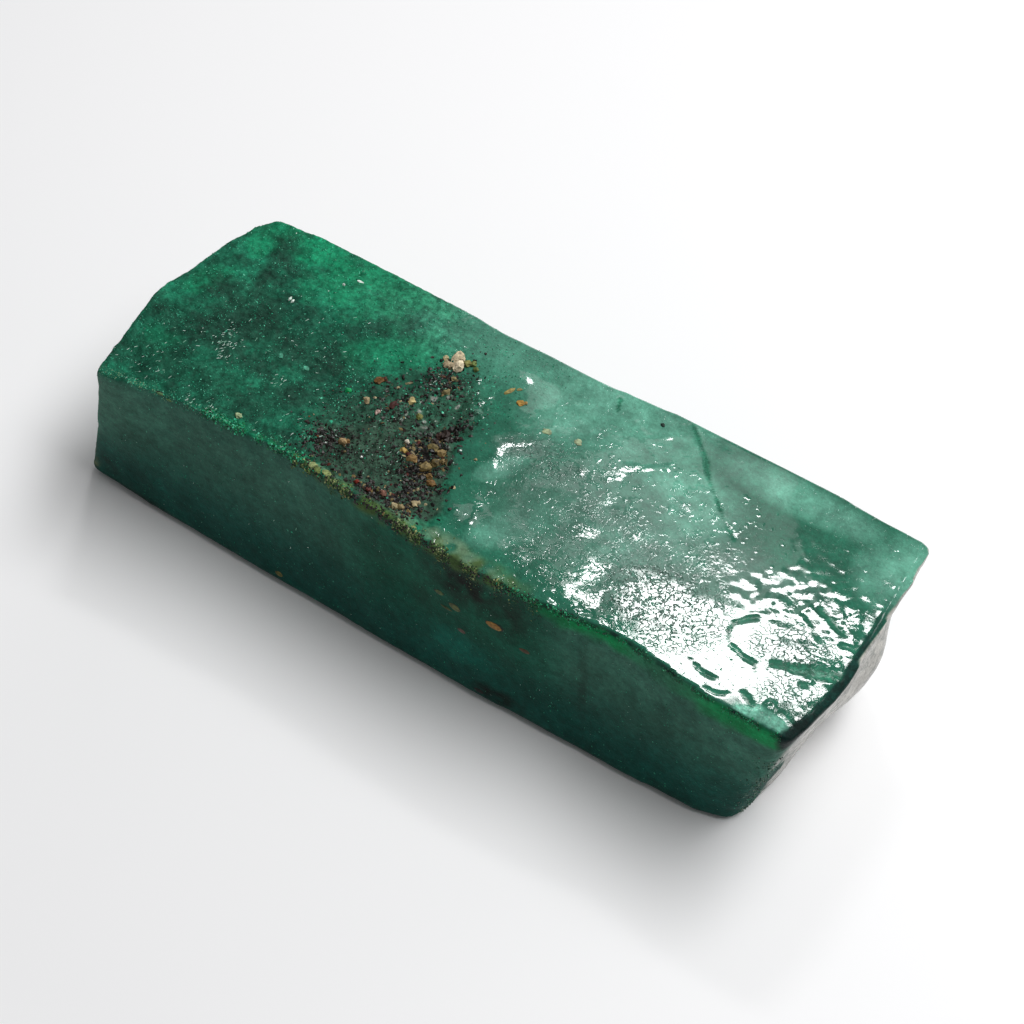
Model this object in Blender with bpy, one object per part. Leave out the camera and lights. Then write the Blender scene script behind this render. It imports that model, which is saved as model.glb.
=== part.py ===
"""Rough emerald crystal: a four-sided block of beryl, sawn flat below, with mineral grains grown into its top.

X runs along the block, Y from its front face to its back face and Z up from the base that it lies on.
Places on the stone are measured from its top front left corner in X, from its front face in Y and from
its base in Z. The finished solid is moved so that the origin is under the middle of its bounding box.
"""

import math
import random

import bmesh
import bpy
from mathutils import Matrix, Vector, noise

MM = 0.001

# Driving dimensions of the block.
TOP_LENGTH = 80.0 * MM
WIDTH = 26.6 * MM
HEIGHT = 20.4 * MM
LEFT_LEAN = 4.7 * MM         # the left end stands out this much further at the base than at the top
LEFT_SWEEP = 1.4             # how much of that lean is kept for the lower half
RIGHT_LEAN = 6.0 * MM        # the right end is undercut by this much at the base
EDGE_RADIUS = 0.55 * MM      # wear on all edges

# Faces along each direction, before the grains and the chips are added.
LENGTH_CELLS = 48
WIDTH_CELLS = 18
HEIGHT_CELLS = 11

# How far each face stands out from the plain block, as (place along the edge, distance) in millimetres.
FRONT_TOP = ((0, -0.9), (9, 0.2), (23, 0.8), (36, -0.1), (45, -0.7), (51, -0.4), (61, 0.7), (72, -0.5), (80, -0.4))
FRONT_BASE = ((-5, 0.6), (4, 0.1), (22, -0.3), (42, -0.4), (60, -0.1), (70, 0.3), (75, 1.6))
BACK_TOP = ((0, -0.2), (12, 0.4), (27, 0.0), (42, 0.0), (52, 0.5), (66, 0.6), (80, 0.0))
BACK_BASE = ((-5, -0.9), (10, -0.2), (30, -0.6), (48, -0.1), (64, -0.5), (75, -1.2))
LEFT_TOP = ((0, -0.8), (4, -1.4), (12, -2.4), (17, -1.3), (20, -1.0), (25, 0.2), (26.6, 1.6))
RIGHT_TOP = ((0, 0.0), (3, 0.6), (8, 1.1), (14, 0.6), (20, 0.2), (26.6, -0.5))

# The right end is one broken surface with a rounded ledge low on its back half.
LEDGE_PLACE = 19.5 * MM
LEDGE_HEIGHT = 8.0 * MM
LEDGE_REACH = 2.3 * MM

# Low swellings of the top face: (x, y, length, width, turn in degrees, height), millimetres.
SWELLINGS = (
    (44.5, 13.5, 9.0, 5.5, 35, 0.45),
    (50.0, 7.5, 3.0, 6.5, -10, 0.40),
    (58.0, 13.0, 6.0, 4.0, 60, 0.35),
    (61.5, 21.0, 7.0, 3.0, 40, 0.30),
    (68.0, 8.5, 6.0, 4.5, 0, 0.40),
    (76.5, 14.5, 4.5, 6.0, 20, 0.35),
    (33.0, 22.5, 9.0, 3.5, 0, 0.30),
    (14.0, 19.0, 10.0, 6.0, 25, 0.35),
    (8.0, 7.0, 6.0, 4.0, -30, 0.25),
)
COATED_FROM = (36.0 * MM, 46.0 * MM)    # between these places the clear coat begins to level the top
COATED_SHARE = 0.35                     # and under it this much of the swellings is left
CORNER_DROP = 0.8 * MM       # the top falls away this much at its front left corner

# The pocket in the top face where the schist grains sit, as its outline in (x, y) millimetres.
POCKET_OUTLINE = (
    (22.5, 6.0), (24.5, 2.2), (30.0, 1.2), (35.5, 0.9), (38.8, 2.4), (38.2, 5.6), (36.4, 8.8),
    (34.8, 12.6), (32.6, 16.6), (31.2, 20.6), (28.2, 21.6), (26.6, 18.4), (26.0, 14.4), (23.4, 11.0),
)
POCKET_SIDES = (22.5 * MM, 38.8 * MM)
POCKET_DEPTHS = (0.05 * MM, 0.55 * MM)     # the floor slopes down from left to right, to a ledge

# Grains that stand out by themselves: (x, y, size, height above the pocket floor), millimetres.
LARGE_GRAINS = (
    (28.7, 20.3, 2.0, 1.00),
    (28.1, 13.4, 1.2, 0.85),
    (24.6, 11.0, 1.0, 0.75),
    (33.5, 11.6, 1.3, 0.85),
    (31.4, 7.9, 1.1, 0.80),
    (34.4, 8.7, 1.3, 0.90),
    (36.0, 6.0, 1.1, 0.80),
    (29.8, 2.9, 1.0, 0.75),
    (35.0, 2.2, 1.4, 0.85),
    (25.2, 4.9, 1.1, 0.75),
)
GRAIN_COUNT = 34
GRAIN_SIZES = (0.8 * MM, 1.4 * MM)
GRAIN_SEED = 11

# Healed cracks across the top: centre lines in (x, y) millimetres.
GROOVES = (
    ((48.0, 23.6), (51.5, 21.4), (54.2, 19.0), (58.8, 16.2)),
    ((52.6, 24.4), (56.8, 22.6), (60.2, 20.0), (64.6, 16.8)),
    ((66.0, 6.6), (68.4, 5.4), (71.2, 4.9), (74.0, 3.8)),
    ((73.2, 8.6), (76.4, 8.9), (80.2, 10.2)),
)
GROOVE_WIDTH = 0.9 * MM
GROOVE_DEPTH = 0.35 * MM

# Chips along the edges: (first place, last place, how many, size range) in millimetres.
CHIP_SEED = 5
CHIP_FACE_SPREAD = 0.25      # how unevenly a chip's hollow is shaped


def remove_everything():
    for item in list(bpy.data.objects):
        bpy.data.objects.remove(item, do_unlink=True)


def crystal_material():
    """Deep green beryl with a dull broken surface."""
    material = bpy.data.materials.new("emerald_beryl")
    material.use_nodes = True
    surface = material.node_tree.nodes["Principled BSDF"]
    surface.inputs["Base Color"].default_value = (0.010, 0.105, 0.060, 1.0)
    surface.inputs["Roughness"].default_value = 0.42
    surface.inputs["Metallic"].default_value = 0.0
    return material


def along(points, place):
    """Value at a place along an edge, eased from one (place, value) pair in millimetres to the next."""
    place = place / MM
    if place <= points[0][0]:
        return points[0][1] * MM
    for (start, low), (end, high) in zip(points, points[1:]):
        if place <= end:
            part = (place - start) / (end - start)
            part = part * part * (3.0 - 2.0 * part)
            return (low + (high - low) * part) * MM
    return points[-1][1] * MM


def mix(low, high, part):
    return low + (high - low) * part


def hump(x, y, swelling):
    """Height of one rounded swelling of the top face above a point."""
    centre_x, centre_y, length, width, turn, height = swelling
    turn = math.radians(turn)
    away_x = x / MM - centre_x
    away_y = y / MM - centre_y
    lengthwise = (away_x * math.cos(turn) + away_y * math.sin(turn)) / length
    crosswise = (away_y * math.cos(turn) - away_x * math.sin(turn)) / width
    reach = lengthwise * lengthwise + crosswise * crosswise
    return height * MM * max(0.0, 1.0 - reach) ** 2


def ripple(point, wavelength, seed):
    """Smooth noise between about -1 and 1, with bumps of about one wavelength."""
    return noise.noise(point / wavelength + Vector((seed, -2.0 * seed, 0.5 * seed)))


def top_relief(x, y):
    """Height of the top face above the plain block."""
    place = Vector((x, y, 0.0))
    height = 0.16 * MM * ripple(place, 7.0 * MM, 3.0) + 0.09 * MM * ripple(place, 2.6 * MM, 8.0)
    height += sum(hump(x, y, swelling) for swelling in SWELLINGS)
    start, end = COATED_FROM
    covered = min(max((x - start) / (end - start), 0.0), 1.0)
    corner = (x / (7.0 * MM)) ** 2 + (y / (6.0 * MM)) ** 2
    return height * mix(1.0, COATED_SHARE, covered) - CORNER_DROP * math.exp(-corner)


def left_end(y, level):
    """X of the left end, where level is 0 at the base and 1 at the top."""
    return along(LEFT_TOP, y) - LEFT_LEAN * (1.0 - level) ** LEFT_SWEEP


def right_end(y, level):
    """X of the right end: undercut, a little hollow above, with the ledge on its back half."""
    undercut = RIGHT_LEAN * (1.0 - level) ** 0.9
    across = (y - LEDGE_PLACE) / (7.0 * MM)
    upwards = (level * HEIGHT - LEDGE_HEIGHT) / (4.5 * MM)
    ledge = LEDGE_REACH * math.exp(-across ** 2 - upwards ** 2)
    return TOP_LENGTH + along(RIGHT_TOP, y) - undercut + ledge


def rounded(point, size):
    """Move a point near an edge of a plain box onto that edge's worn rounding."""
    inner = Vector([min(max(point[i], EDGE_RADIUS), size[i] - EDGE_RADIUS) for i in range(3)])
    outward = point - inner
    if outward.length < 1e-9:
        return point
    return inner + outward.normalized() * EDGE_RADIUS


def shaped(point, size):
    """Carry a point of the plain box onto the stone."""
    plain = rounded(point, size)
    end_part = plain.x / size.x
    depth_part = plain.y / size.y
    level = plain.z / size.z
    x = mix(left_end(plain.y, level), right_end(plain.y, level), end_part)
    front = mix(along(FRONT_BASE, x), along(FRONT_TOP, x), level)
    back = WIDTH + mix(along(BACK_BASE, x), along(BACK_TOP, x), level)
    y = mix(front, back, depth_part)
    z = level * (HEIGHT + top_relief(x, y))
    return Vector((x, y, z))


def side_roughness(point):
    """Broken relief of the side faces, none at the base."""
    level = point.z / HEIGHT
    fade = min(1.0, 5.0 * level) * min(1.0, max(0.0, 6.0 * (1.05 - level)))
    coarse = 0.30 * MM * ripple(point, 6.0 * MM, 21.0)
    fine = 0.16 * MM * ripple(point, 2.4 * MM, 34.0)
    return fade * (coarse + fine)


def cut_stations(length, cells):
    """Places of the cuts along one direction: one on each side of the edge rounding, the rest evenly spread."""
    step = (length - 2.0 * EDGE_RADIUS) / (cells - 2)
    evenly = [EDGE_RADIUS + step * i for i in range(cells - 1)]
    worn = [0.35 * EDGE_RADIUS, length - 0.35 * EDGE_RADIUS]
    return evenly + worn


def slice_block(mesh, size):
    """Cut the plain box into small faces with planes across each direction."""
    for axis, cells in enumerate((LENGTH_CELLS, WIDTH_CELLS, HEIGHT_CELLS)):
        normal = Vector((0.0, 0.0, 0.0))
        normal[axis] = 1.0
        for place in cut_stations(size[axis], cells):
            geometry = mesh.verts[:] + mesh.edges[:] + mesh.faces[:]
            bmesh.ops.bisect_plane(mesh, geom=geometry, dist=1e-7, plane_co=normal * place, plane_no=normal)


def flatten_base(mesh):
    """Join the faces of the sawn base into one flat face."""
    for vertex in mesh.verts:
        if vertex.co.z < 0.01 * MM:
            vertex.co.z = 0.0
    flat = [face for face in mesh.faces if all(vertex.co.z == 0.0 for vertex in face.verts)]
    bmesh.ops.dissolve_faces(mesh, faces=flat, use_verts=True)


def new_object(name, mesh):
    """Make an object from finished bmesh geometry."""
    data = bpy.data.meshes.new(name)
    mesh.to_mesh(data)
    mesh.free()
    item = bpy.data.objects.new(name, data)
    bpy.context.scene.collection.objects.link(item)
    return item


def block():
    """The stone without its grains, grooves and chips."""
    size = Vector((TOP_LENGTH, WIDTH, HEIGHT))
    mesh = bmesh.new()
    bmesh.ops.create_cube(mesh, size=1.0)
    bmesh.ops.translate(mesh, verts=mesh.verts, vec=(0.5, 0.5, 0.5))
    bmesh.ops.scale(mesh, verts=mesh.verts, vec=size)
    slice_block(mesh, size)
    for vertex in mesh.verts:
        vertex.co = shaped(vertex.co, size)
    mesh.normal_update()
    moves = {vertex: vertex.normal * side_roughness(vertex.co) for vertex in mesh.verts}
    for vertex, move in moves.items():
        move.z = 0.0
        vertex.co += move
    flatten_base(mesh)
    bmesh.ops.triangulate(mesh, faces=mesh.faces)
    return new_object("raw_crystal", mesh)


def pebble(mesh, centre, size, height, shuffle):
    """Add one angular grain: a turned icosahedron with uneven corners, its top at the given height."""
    made = bmesh.ops.create_icosphere(mesh, subdivisions=1, radius=0.5)["verts"]
    turn = Matrix.Rotation(shuffle.uniform(0.0, math.tau), 4, Vector((0.3, 0.2, 1.0)).normalized())
    for vertex in made:
        vertex.co = turn @ vertex.co
        vertex.co *= shuffle.uniform(0.85, 1.12)
        vertex.co.x *= size
        vertex.co.y *= size * shuffle.uniform(0.82, 0.98)
        vertex.co.z *= 2.0 * height
        vertex.co += centre


def inside(outline, x, y):
    """Whether a point lies inside an outline, counting the sides crossed on one side of it."""
    crossings = 0
    for (x1, y1), (x2, y2) in zip(outline, outline[1:] + outline[:1]):
        if (y1 > y) != (y2 > y) and x < x1 + (y - y1) * (x2 - x1) / (y2 - y1):
            crossings += 1
    return crossings % 2 == 1


def pocket_floor(x):
    """Height of the pocket's sloping floor."""
    left, right = POCKET_SIDES
    return HEIGHT - mix(*POCKET_DEPTHS, (x - left) / (right - left))


def scattered_places(shuffle):
    """Places of the smaller grains: inside the pocket, clear of the large grains and of each other."""
    taken = [(x * MM, y * MM, size * MM) for x, y, size, height in LARGE_GRAINS]
    places = []
    while len(places) < GRAIN_COUNT:
        x = shuffle.uniform(*POCKET_SIDES)
        y = shuffle.uniform(1.4 * MM, 21.0 * MM)
        size = shuffle.uniform(*GRAIN_SIZES)
        clear = all(math.hypot(x - a, y - b) > 0.5 * (size + other) for a, b, other in taken)
        if inside(POCKET_OUTLINE, x / MM, y / MM) and clear:
            taken.append((x, y, size))
            places.append((x, y, size))
    return places


def grains():
    """The grains that stand in the pocket, all in one cutter-like guide that is fused to the block."""
    shuffle = random.Random(GRAIN_SEED)
    mesh = bmesh.new()
    for x, y, size, height in LARGE_GRAINS:
        pebble(mesh, Vector((x * MM, y * MM, pocket_floor(x * MM))), size * MM, height * MM, shuffle)
    for x, y, size in scattered_places(shuffle):
        pebble(mesh, Vector((x, y, pocket_floor(x))), size, 0.55 * size, shuffle)
    return new_object("grains", mesh)


def pocket():
    """The space taken out of the top face around the grains."""
    mesh = bmesh.new()
    corners = [mesh.verts.new((x * MM, y * MM, pocket_floor(x * MM))) for x, y in POCKET_OUTLINE]
    floor = mesh.faces.new(corners)
    raised = bmesh.ops.extrude_face_region(mesh, geom=[floor])["geom"]
    upper = [item for item in raised if isinstance(item, bmesh.types.BMVert)]
    bmesh.ops.translate(mesh, verts=upper, vec=(0.0, 0.0, 3.0 * MM))
    bmesh.ops.recalc_face_normals(mesh, faces=mesh.faces)
    return new_object("pocket", mesh)


def groove(mesh, line):
    """Add the V-shaped space of one groove, narrowing to nothing at both ends."""
    rings = []
    for index, (x, y) in enumerate(line):
        before = Vector(line[max(index - 1, 0)])
        after = Vector(line[min(index + 1, len(line) - 1)])
        forward = (after - before).normalized()
        side = Vector((-forward.y, forward.x, 0.0))
        narrow = 0.35 if index in (0, len(line) - 1) else 1.0
        surface = HEIGHT + top_relief(x * MM, y * MM)
        middle = Vector((x * MM, y * MM, surface))
        rise = Vector((0.0, 0.0, 1.0 * MM))
        spread = side * GROOVE_WIDTH * narrow
        corners = (middle - Vector((0.0, 0.0, GROOVE_DEPTH * narrow)), middle + spread + rise, middle - spread + rise)
        rings.append([mesh.verts.new(corner) for corner in corners])
    for ring, following in zip(rings, rings[1:]):
        for i in range(3):
            j = (i + 1) % 3
            mesh.faces.new((ring[i], ring[j], following[j], following[i]))
    mesh.faces.new(rings[0])
    mesh.faces.new(rings[-1])


def grooves():
    mesh = bmesh.new()
    for line in GROOVES:
        groove(mesh, line)
    bmesh.ops.recalc_face_normals(mesh, faces=mesh.faces)
    return new_object("grooves", mesh)


def chip(mesh, place, reach, shuffle):
    """Add the hollow of one chip: a flattened faceted lump that bites into an edge."""
    made = bmesh.ops.create_icosphere(mesh, subdivisions=1, radius=0.5)["verts"]
    turn = Matrix.Rotation(shuffle.uniform(0.0, math.tau), 4, "Y")
    for vertex in made:
        vertex.co = turn @ vertex.co
        for axis in range(3):
            vertex.co[axis] *= reach[axis] * shuffle.uniform(1.0 - CHIP_FACE_SPREAD, 1.0 + CHIP_FACE_SPREAD)
        vertex.co += place


def back_edge_chips(mesh, shuffle):
    """Small bites along the top back edge, closer together towards the right end."""
    x = 3.0 * MM
    while x < 78.0 * MM:
        size = shuffle.uniform(1.2, 2.8) * MM
        y = WIDTH + along(BACK_TOP, x) + 0.15 * MM
        z = HEIGHT + top_relief(x, y) + 0.1 * MM
        chip(mesh, Vector((x, y, z)), (size, 0.9 * MM, 0.8 * MM), shuffle)
        x += size + shuffle.uniform(1.0, 6.0) * MM * (1.1 - x / TOP_LENGTH)


def left_edge_chips(mesh, shuffle):
    """Bites along the top edge of the left end."""
    for y, size in ((3.0, 2.4), (9.5, 1.8), (15.2, 2.8), (19.8, 1.8), (23.4, 1.6)):
        x = left_end(y * MM, 1.0) - 0.1 * MM
        z = HEIGHT + top_relief(x, y * MM) + 0.1 * MM
        chip(mesh, Vector((x, y * MM, z)), (1.3 * MM, size * MM, 1.0 * MM), shuffle)


def base_edge_chips(mesh, shuffle):
    """Bites along the lower front edge and around the lower right corner."""
    for x, size in ((12.0, 2.0), (22.5, 3.2), (31.0, 1.8), (38.0, 2.6), (52.0, 2.2), (61.0, 3.0), (68.5, 3.6)):
        y = along(FRONT_BASE, x * MM)
        chip(mesh, Vector((x * MM, y - 0.15 * MM, 0.0)), (size * MM, 1.0 * MM, 1.3 * MM), shuffle)
    for z, size in ((1.5, 3.2), (5.0, 2.6), (8.6, 2.0), (12.4, 2.2), (16.0, 1.6)):
        level = z * MM / HEIGHT
        x = right_end(0.0, level)
        y = mix(along(FRONT_BASE, x), along(FRONT_TOP, x), level)
        chip(mesh, Vector((x, y, z * MM)), (1.4 * MM, 1.4 * MM, size * MM), shuffle)


def chips():
    shuffle = random.Random(CHIP_SEED)
    mesh = bmesh.new()
    back_edge_chips(mesh, shuffle)
    left_edge_chips(mesh, shuffle)
    base_edge_chips(mesh, shuffle)
    return new_object("chips", mesh)


def combine(stone, tool, operation, overlaps):
    """Add a tool's shape to the stone or take it out. The tool stays as a hidden guide."""
    step = stone.modifiers.new(tool.name, "BOOLEAN")
    step.object = tool
    step.operation = operation
    step.solver = "EXACT"
    step.use_self = overlaps
    tool.hide_render = True
    tool.display_type = "WIRE"


def stand_on_origin(items):
    """Move the stone and its guides so that the origin is under the middle of the stone's bounding box."""
    stone = items[0]
    corners = [vertex.co for vertex in stone.data.vertices]
    middle_x = 0.5 * (min(c.x for c in corners) + max(c.x for c in corners))
    middle_y = 0.5 * (min(c.y for c in corners) + max(c.y for c in corners))
    for item in items:
        item.data.transform(Matrix.Translation((-middle_x, -middle_y, 0.0)))


def build():
    remove_everything()
    stone = block()
    stone.data.materials.append(crystal_material())
    pocket_tool = pocket()
    groove_tool = grooves()
    chip_tool = chips()
    grain_tool = grains()
    combine(stone, pocket_tool, "DIFFERENCE", overlaps=False)
    combine(stone, groove_tool, "DIFFERENCE", overlaps=False)
    combine(stone, chip_tool, "DIFFERENCE", overlaps=True)
    combine(stone, grain_tool, "UNION", overlaps=True)
    stand_on_origin((stone, pocket_tool, groove_tool, chip_tool, grain_tool))


build()
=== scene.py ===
"""Rough emerald crystal on a pale table: the stone's broken surface, its wet coat, its grains and its crust.

Places on the stone are in millimetres: X from the top front left corner along the block, Y from the front
face towards the back, Z up from the base.
"""

import math
import random

import bmesh
import bpy
import numpy as np
from mathutils import Matrix, Quaternion, Vector, noise
from mathutils.bvhtree import BVHTree
from mathutils.kdtree import KDTree


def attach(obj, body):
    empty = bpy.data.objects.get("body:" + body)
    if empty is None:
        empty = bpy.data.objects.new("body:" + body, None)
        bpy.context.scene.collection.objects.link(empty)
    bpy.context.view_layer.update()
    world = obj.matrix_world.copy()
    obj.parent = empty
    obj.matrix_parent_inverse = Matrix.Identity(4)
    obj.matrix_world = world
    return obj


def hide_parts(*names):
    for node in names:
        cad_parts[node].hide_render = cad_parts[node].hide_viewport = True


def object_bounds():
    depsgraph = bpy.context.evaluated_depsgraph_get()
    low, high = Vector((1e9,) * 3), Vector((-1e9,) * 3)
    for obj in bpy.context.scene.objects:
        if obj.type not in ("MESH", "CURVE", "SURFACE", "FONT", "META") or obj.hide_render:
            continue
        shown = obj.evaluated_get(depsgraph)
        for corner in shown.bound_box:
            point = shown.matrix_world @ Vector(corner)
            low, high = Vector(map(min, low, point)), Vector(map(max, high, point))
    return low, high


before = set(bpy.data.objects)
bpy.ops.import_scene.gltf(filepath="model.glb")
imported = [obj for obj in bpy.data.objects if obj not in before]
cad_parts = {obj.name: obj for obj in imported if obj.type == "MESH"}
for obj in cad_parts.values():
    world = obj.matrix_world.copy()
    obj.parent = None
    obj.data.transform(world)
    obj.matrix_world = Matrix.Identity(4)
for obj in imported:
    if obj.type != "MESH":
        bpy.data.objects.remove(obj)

MM = 0.001
CAD_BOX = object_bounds()

# The block.
HEIGHT = 20.4
LEFT_REACH = 6.94            # the left end passes the top front left corner by this much
FRONT_REACH = 0.88           # and the front face by this much
CORNER = Vector((CAD_BOX[0].x + LEFT_REACH * MM, CAD_BOX[0].y + FRONT_REACH * MM, 0))

# The mesh of the stone: a grid of this spacing, halved over the top face.
GRID = 0.42
SMOOTHING_PASSES = 4

# Line of the top front edge, as (x, y).
FRONT_TOP = ((0, -0.9), (9, 0.2), (23, 0.8), (36, -0.1), (45, -0.7), (51, -0.4), (61, 0.7), (72, -0.5), (80, -0.4))

# Line of the top right edge, as (y, x), and how the coat runs down over it.
RIGHT_EDGE = ((0, 80.2), (3, 81), (8, 81.4), (14, 81), (20, 80.3), (26.6, 79.6))
LIP_WIDTH = 1.3
LIP_DROP = 0.35

# Low swellings of the top face: (x, y, length, width, turn in degrees, height).
SWELLINGS = (
    (44.5, 13.5, 9, 5.5, 35, 0.45), (50, 7.5, 3, 6.5, -10, 0.4), (61.5, 21, 7, 3, 40, 0.3),
    (68, 8.5, 6, 4.5, 0, 0.4), (76.5, 14.5, 4.5, 6, 20, 0.35), (33, 22.5, 9, 3.5, 0, 0.3),
    (14, 19, 10, 6, 25, 0.35), (8, 7, 6, 4, -30, 0.25),
)
WET_CALM = 0.05              # the swellings under the coat stand only this share of their height
CORNER_DROP = 0.8            # the top falls away this much at its front left corner
FOOT_WIDTH = 1.4             # the foot is rounded over this width
FOOT_LIFT = 0.4
FOOT_HEIGHT = 2              # and up to this height
TOP_EDGE_DROP = 1.4          # the fine grid of the top face reaches this far down its sides
FLAT_BASE = 0.12             # all below this height is flat base

# The pocket of schist grains.
POCKET = (
    (22.5, 6), (24.5, 2.2), (30, 1.2), (35.5, 0.9), (38.8, 2.4), (38.2, 5.6), (36.4, 8.8),
    (34.8, 12.6), (32.6, 16.6), (31.2, 20.6), (28.2, 21.6), (26.6, 18.4), (26, 14.4), (23.4, 11),
)
POCKET_SIDES = (22.5, 38.8)
POCKET_DEPTHS = (0.05, 0.3)
SOOT = (
    (22.8, 5.6), (25, 2.6), (29, 1.5), (34, 0.6), (38.6, 2.1), (37, 6.7), (34.6, 12),
    (31.4, 12.6), (28, 10.6), (26.6, 7.6),
)

# Edge of the wet coat: x of its left side at each y.
COAT_EDGE = ((0, 41), (3, 39.6), (8, 37.2), (13, 35.4), (18, 33.4), (22, 28.5), (27, 24))

# Ridges and grooves in the coat: (points, half width, height), a groove's height being negative.
COAT_LINES = (
    (((38.5, 13.3), (39.2, 14.3), (40.1, 14.9), (41.8, 16.7)), 0.36, 0.03),
    (((39.6, 10.8), (39, 11.8), (38.8, 13)), 0.34, 0.034),
    (((43.5, 16.8), (45.1, 16.2), (46.5, 16.5), (47.1, 15.1)), 0.34, 0.03),
    (((49.9, 18.3), (51.7, 19.2), (53.6, 20.5)), 0.3, 0.026),
    (((50.4, 22.7), (51, 23.2), (51.7, 24.2)), 0.3, 0.028),
    (((55.5, 16.3), (56.8, 16.5)), 0.28, 0.018),
    (((50.9, 16.4), (51.8, 14), (51.5, 11.9), (52.6, 9.8), (52.2, 7.8)), 0.7, -0.03),
    (((48, 23.6), (51.5, 21.4), (54.2, 19), (58.8, 16.2)), 0.42, -0.02),
    (((41.9, 5.4), (41.8, 3.7)), 0.34, 0.03),
    (((47.3, 3.2), (47.7, 4.4)), 0.34, 0.026),
    (((56.5, 4.9), (57.4, 6.2), (58.4, 6.6)), 0.4, 0.02),
    (((66.7, 13.3), (67.7, 13.1), (69.9, 12.5)), 0.5, 0.014),
    (((69.5, 11.9), (70.4, 12.8), (71.7, 12.7), (72.9, 12.5)), 0.45, 0.016),
    (((73.1, 12.2), (74.4, 11.4), (76, 10.5), (77.2, 9.8)), 0.42, 0.022),
    (((72.7, 14), (74.2, 13.3)), 0.4, 0.022),
    (((74.9, 9.3), (76.4, 8.9), (78.4, 9)), 0.36, 0.022),
    (((78.3, 13), (79.4, 11.8), (79.7, 10.4)), 0.36, 0.026),
)

# Smooth rises and hollows in the coat: (x, y, length, width, turn in degrees, height).
COAT_MOUNDS = (
    (36.9, 13.9, 5, 5, 0, 0.19), (47.6, 21, 5, 5, 0, 0.06), (46.9, 17.2, 5, 3.4, 20, 0.05),
    (38.8, 4, 5, 4, 0, 0.2), (45.6, 3, 4.6, 3.6, 0, 0.17), (48.4, 9.8, 4.4, 3.2, -10, 0.095),
    (53, 6.4, 3, 3, 0, 0.07), (52, 2.6, 6, 3.6, 0, 0.12), (49.6, 1.6, 0.9, 0.5, 80, 0.03),
    (48, 3.1, 0.9, 0.5, 70, 0.03), (43.9, 7.9, 1, 0.4, 40, 0.03), (50.5, 9.4, 2, 0.85, 70, 0.035),
    (50.4, 3.4, 1.2, 0.8, 30, 0.05), (53.7, 5.4, 1, 0.5, 70, 0.03), (76.5, 2, 0.95, 0.95, 0, 0.11),
    (76.5, 2, 0.45, 0.45, 0, -0.09),
)

# Where the coat has run off and the stone shows bare: (points, half width).
BARE_LINES = (
    (((70.1, 9.8), (69.4, 9), (68.7, 8.1), (68.8, 7.2)), 0.26),
    (((68.8, 7.2), (69.6, 5.9), (71.2, 5.4), (72.7, 5.3), (73.4, 4.4)), 0.17),
    (((74.1, 6.1), (75.7, 6.7)), 0.32),
    (((75.7, 6.7), (77.4, 7.3)), 0.52),
    (((77.4, 7.3), (79.5, 8.2)), 0.75),
    (((67.5, 2.3), (69.5, 1.7), (70.8, 1.8)), 0.13),
    (((70.6, 0.4), (71.7, 0.4), (72.5, 0.9)), 0.13),
    (((73.6, 1.8), (74.4, 1.5), (75.1, 1.1)), 0.24),
    (((77.6, 1.9), (78.3, 1.8), (79, 1.4)), 0.2),
    (((77.5, 5.6), (78, 5.8)), 0.26),
    (((74.6, 14.1), (75.6, 13.6), (76.8, 13), (78, 12.7)), 0.26),
    (((78.2, 11.6), (79.5, 11.8)), 0.26),
    (((52.6, 26.6), (55.6, 24), (57.6, 21.6)), 0.24),
    (((57.6, 21.6), (59.4, 20), (61.6, 18), (63.6, 16.6)), 0.16),
    (((44.9, 25.4), (45.6, 23.9)), 0.16),
)
SUGARY_PATCH = ((74.2, 0.1), (76, 0.8), (78.4, 0.5))

# Where the coat is peppered, and where it lies calm: (share, (x, y, length, width, turn in degrees)).
STIPPLED = (
    (1.4, (61.5, 6.5, 8.5, 6.5, 0)), (0.6, (43, 14.5, 6, 4.5, 20)), (0.8, (75, 8.5, 5, 3.6, 10)),
    (0.5, (77.5, 3.6, 4, 3.4, 0)), (0.3, (52, 7, 9, 9, 0)),
)
CALM = ((1.8, (70.5, 5, 10, 6.5, 10)), (1.3, (61.5, 6.5, 8, 6, 0)))

# Veins and clouds of the dry half: (points, half width, share).
DARK_VEINS = (
    (((4.4, 24.5), (5.9, 19.3), (6.5, 13.3)), 1.2, 0.75),
    (((-1.9, 9.4), (4.9, 9.1), (13.3, 8.2), (19, 7.3)), 1.5, 0.75),
    (((3, 15.5), (8.2, 13), (14, 12), (19.5, 12.5)), 2, 0.8),
    (((0.5, 4.4), (9, 4.6), (16, 4), (22, 8)), 1.7, 0.55),
)
VIVID_CLOUDS = (
    (((5.3, 25.4), (16, 24.6), (30, 25.6)), 2.2, 0.9),
    (((11, 22.3), (20, 21.8)), 2.2, 0.7),
    (((2, 22.5), (4.2, 25.5)), 1.6, 0.7),
    (((1.7, 6.1), (3.5, 6.2)), 1.2, 0.4),
    (((0, 13.5), (1.5, 16.5)), 1.2, 0.5),
    (((14, 0.3), (26, 0.6)), 0.9, 1),
    (((20, 15.5), (25, 19)), 2, 0.45),
)


def unit(values):
    """The values, none below 0 or above 1."""
    return np.clip(values, 0, 1)


def strongest(shares):
    """The greatest of several shares at each place."""
    return np.maximum.reduce(list(shares))


def ease(low, high, values):
    """0 below low, 1 above high, and smooth between."""
    part = unit((values - low) / (high - low))
    return part * part * (3 - 2 * part)


def mix(low, high, part):
    return low + (high - low) * part


def ripple(places, size, seed):
    """Smooth noise between about -1 and 1 at places in millimetres, with bumps of about the given size."""
    shift = Vector((seed, -2 * seed, 0.5 * seed))
    return np.array([noise.noise(Vector(place) / size + shift) for place in places])


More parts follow.
